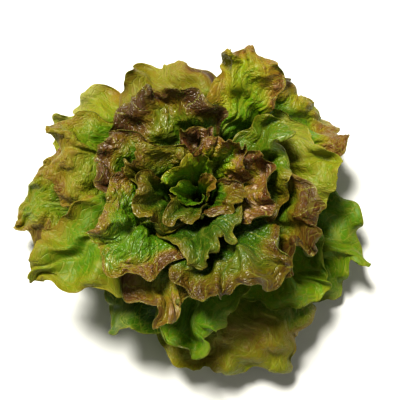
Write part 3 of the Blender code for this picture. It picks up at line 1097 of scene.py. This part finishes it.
# The stem is drawn up ring by ring from its cut face
def makeStem(finish):
    deselectAll()
    cutRadius = stem["radius"] - stem["cutBevel"]
    sides = stem["sides"]
    bpy.ops.mesh.primitive_circle_add(vertices=sides, radius=cutRadius, fill_type="NGON", calc_uvs=False)
    piece = bpy.context.object
    piece.name = "cutStem"
    bpy.ops.object.mode_set(mode="EDIT")
    bpy.ops.mesh.select_all(action="SELECT")
    low, radius = 0.0, cutRadius
    for ring in range(stem["rings"] + 1):
        high = between((stem["cutBevel"], stem["height"]), ring / stem["rings"])
        wider = float(stemRadius(high)) / radius
        bpy.ops.mesh.extrude_region_move(TRANSFORM_OT_translate={"value": (0, 0, high - low)})
        bpy.ops.transform.resize(value=(wider, wider, 1), center_override=(0, 0, high))
        low, radius = high, radius * wider
    for share in stem["topInsets"]:
        bpy.ops.mesh.inset(thickness=radius * share / 2, depth=0)
    bpy.ops.mesh.select_all(action="DESELECT")
    bpy.ops.object.mode_set(mode="OBJECT")
    cut = min(piece.data.polygons, key=lambda face: face.center.z)
    cut.select = True
    bpy.ops.object.mode_set(mode="EDIT")
    bpy.ops.mesh.select_mode(type="FACE")
    for _ in range(stem["cutRings"]):
        bpy.ops.mesh.inset(thickness=cutRadius / (stem["cutRings"] + 1), depth=0)
    bpy.ops.mesh.select_all(action="SELECT")
    bpy.ops.mesh.normals_make_consistent(inside=False)
    bpy.ops.object.mode_set(mode="OBJECT")
    roughenStem(piece.data)
    bpy.ops.object.shade_smooth_by_angle(angle=stem["sharpAngle"])
    piece.data.materials.clear()
    piece.data.materials.append(finish)
    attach(piece, "root")
    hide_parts("stem")


stemColours = {
    "flesh": (0.560, 0.600, 0.300, 1),
    "skin": (0.300, 0.420, 0.100, 1),
    "young": (0.230, 0.360, 0.030, 1),
    "vessels": (0.400, 0.330, 0.120, 1),
    "browned": (0.300, 0.150, 0.050, 1),
}
stemLook = {
    "grainScale": 320,
    "grainDetail": 5,
    "cutEdge": (0.0008, 0.0022),
    "vesselRing": 0.0105,
    "ringWidth": 0.0016,
    "ringGrain": (0.35, 0.60),
    "stainGrain": (0.48, 0.72),
    "stainShare": 0.75,
    "youngOver": (0.012, 0.050),
    "fleshShare": 0.35,
    "roughGrain": 0.3,
    "roughness": 0.40,
    "bump": 0.4,
    "bumpDistance": 0.0005,
    "through": 0.2,
    "lightReach": (0.8, 1.0, 0.4),
    "lightScale": 0.003,
}


# Pale flesh with a ring of vessels in the cut face, browned in places, and green skin above it
def stemFinish():
    made, tree, shader = newFinish("stemFlesh")
    place = addNode(tree, "ShaderNodeTexCoord").outputs["Object"]
    apart = addNode(tree, "ShaderNodeSeparateXYZ")
    feed(tree, apart, place)
    across, deep, height = apart.outputs
    reach = calc(tree, "MULTIPLY_ADD", across, across, product(tree, deep, deep))
    reach = calc(tree, "SQRT", reach)
    grain = noiseAt(tree, place, stemLook["grainScale"], stemLook["grainDetail"])
    onCut = calc(tree, "SUBTRACT", 1.0, ease(tree, height, *stemLook["cutEdge"]))
    offRing = calc(tree, "ABSOLUTE", calc(tree, "SUBTRACT", reach, stemLook["vesselRing"]))
    ring = calc(tree, "SUBTRACT", 1.0, ease(tree, offRing, 0.0, stemLook["ringWidth"]))
    ring = product(tree, ring, ease(tree, grain, *stemLook["ringGrain"]))
    face = blend(tree, ring, stemColours["flesh"], stemColours["vessels"])
    stained = ease(tree, grain, *stemLook["stainGrain"])
    stained = product(tree, stained, stemLook["stainShare"])
    face = blend(tree, stained, face, stemColours["browned"])
    young = ease(tree, height, *stemLook["youngOver"])
    skin = blend(tree, young, stemColours["skin"], stemColours["young"])
    pale = product(tree, grain, stemLook["fleshShare"])
    skin = blend(tree, pale, skin, stemColours["flesh"])
    tree.links.new(blend(tree, onCut, skin, face), shader.inputs["Base Color"])
    rough = calc(tree, "MULTIPLY_ADD", grain, stemLook["roughGrain"], stemLook["roughness"])
    tree.links.new(rough, shader.inputs["Roughness"])
    giveFlesh(tree, shader, grain, stemLook)
    return made


makeStem(stemFinish())
print("stem made")

total = 0
for number, (name, row) in enumerate(leaves.items()):
    leaf = makeLeaf(name, leafPlan(number, row), finishes[name[:-3]])
    total += sum(len(face.vertices) - 2 for face in leaf.data.polygons)
print("leaves made:", len(leaves), "triangles:", total)


room = {
    "floorSize": 60.0,
    "floorColour": (0.90, 0.90, 0.88, 1),
    "floorRoughness": 0.9,
    "skyColour": (1.0, 0.98, 0.78, 1),
    "skyLight": 0.095,
    "shownColour": (0.96, 0.96, 0.95, 1),
    "lampColour": (1.0, 0.98, 0.92),
}


# The sky is shown bright behind the floor but lights the head only softly
def makeRoom():
    deselectAll()
    bpy.ops.mesh.primitive_plane_add(size=room["floorSize"])
    floor = bpy.context.object
    floor.name = "floor"
    pale, _, shader = newFinish("paleFloor")
    shader.inputs["Base Color"].default_value = room["floorColour"]
    shader.inputs["Roughness"].default_value = room["floorRoughness"]
    floor.data.materials.append(pale)
    world = bpy.data.worlds.new("studio")
    world.use_nodes = True
    tree = world.node_tree
    sky = tree.nodes["Background"]
    seen = addNode(tree, "ShaderNodeLightPath").outputs["Is Camera Ray"]
    lit = tuple(part * room["skyLight"] for part in room["skyColour"][:3]) + (1,)
    tree.links.new(blend(tree, seen, lit, room["shownColour"]), sky.inputs["Color"])
    bpy.context.scene.world = world


# Soft boxes far away, as (name, azimuth, elevation, width in degrees, strength)
softBoxes = (
    ("keyBox", -35, 62, 18, 5.75),
    ("fillBox", 130, 50, 50, 0.40),
)


def makeLights():
    for name, azimuth, elevation, width, strength in softBoxes:
        around, up = math.radians(azimuth), math.radians(elevation)
        towards = Vector((math.sin(around) * math.cos(up), math.cos(around) * math.cos(up), math.sin(up)))
        bpy.ops.object.light_add(type="SUN", location=towards)
        box = bpy.context.object
        box.name = name
        box.data.angle = math.radians(width)
        box.data.energy = strength
        box.data.color = room["lampColour"]
        box.rotation_euler = towards.to_track_quat("Z", "Y").to_euler()


cameraPlan = {
    "lens": 85,
    "elevation": math.radians(76),
    "target": Vector((0.003, 0.0, 0.058)),
    "distance": 0.80,
    "gamma": 0.84,
}


def makeCamera():
    up = cameraPlan["elevation"]
    back = Vector((0, -math.cos(up), math.sin(up)))
    bpy.ops.object.camera_add(location=cameraPlan["target"] + back * cameraPlan["distance"])
    camera = bpy.context.object
    camera.data.lens = cameraPlan["lens"]
    camera.rotation_euler = (-back).to_track_quat("-Z", "Y").to_euler()
    bpy.context.scene.camera = camera


makeRoom()
makeLights()
makeCamera()
view = bpy.context.scene.view_settings
view.view_transform = "Standard"
view.gamma = cameraPlan["gamma"]
print("room, lights and camera ready")
